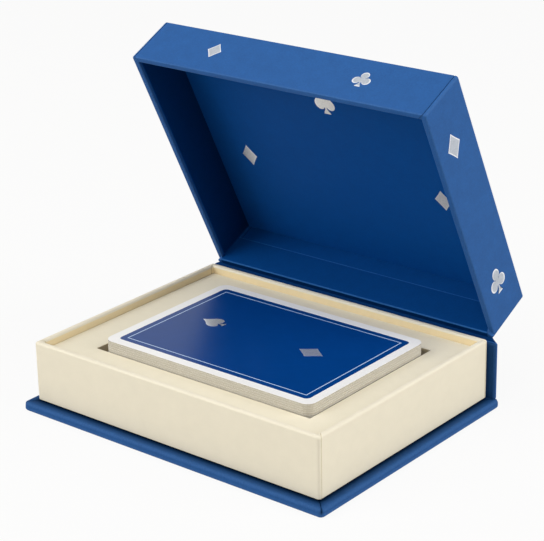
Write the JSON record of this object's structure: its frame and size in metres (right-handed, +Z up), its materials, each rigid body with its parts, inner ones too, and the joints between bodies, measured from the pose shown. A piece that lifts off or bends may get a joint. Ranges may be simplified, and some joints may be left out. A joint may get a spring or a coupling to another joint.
{
  "type": "boxed playing card deck",
  "caption": "Poker-size playing card deck lying back up in the well of a cream inner tray, in a blue paper-covered rigid box whose deep lid swings open on a paper hinge at the back.",
  "frame": {"origin": "middle of the base board's underside", "axes": "+Z up, +X to the right along the box front, +Y from the front to the hinge"},
  "size_m": [0.1304, 0.1196, 0.1225],
  "materials": {
    "blue_covered_board": "matte",
    "cream_covered_board": "matte",
    "lining_paper": "matte",
    "grey_board": "matte",
    "card_stock": "satin",
    "card_back": "satin"
  },
  "bodies": {
    "box": {"base_board": "blue_covered_board", "spine_board": "blue_covered_board", "hinge_paper": "blue_covered_board", "tray_floor": "cream_covered_board", "tray_front_wall": "cream_covered_board", "tray_back_wall": "cream_covered_board", "tray_left_wall": "cream_covered_board", "tray_right_wall": "cream_covered_board", "riser_front": "cream_covered_board", "riser_back": "cream_covered_board", "riser_left": "cream_covered_board", "riser_right": "cream_covered_board", "deck_pad": "grey_board", "insert_platform": "cream_covered_board"},
    "lid": {"lid_panel": "blue_covered_board", "lid_front_wall": "blue_covered_board", "lid_back_wall": "blue_covered_board", "lid_left_wall": "blue_covered_board", "lid_right_wall": "blue_covered_board", "lid_lining": "lining_paper", "hinge_fold": "blue_covered_board"},
    "deck": {"spade_cards": "card_stock", "heart_cards": "card_stock", "diamond_cards": "card_stock", "club_cards": "card_stock", "joker_card": "card_stock"},
    "top_card": {"top_card": "card_back"}
  },
  "joints": [
    {"name": "lid_hinge", "type": "hinge", "parent": "box", "child": "lid", "pos_m": [0, 0.05055, 0.0244], "axis": [-1, 0, 0], "range_deg": [-64, 115]},
    {"name": "deck_lift", "type": "slide", "parent": "box", "child": "deck", "axis": [0, 0, 1], "range_m": [0, 0.0165]},
    {"name": "top_card_slide", "type": "slide", "parent": "deck", "child": "top_card", "axis": [0, -1, 0], "range_m": [0, 0.012]}
  ]
}
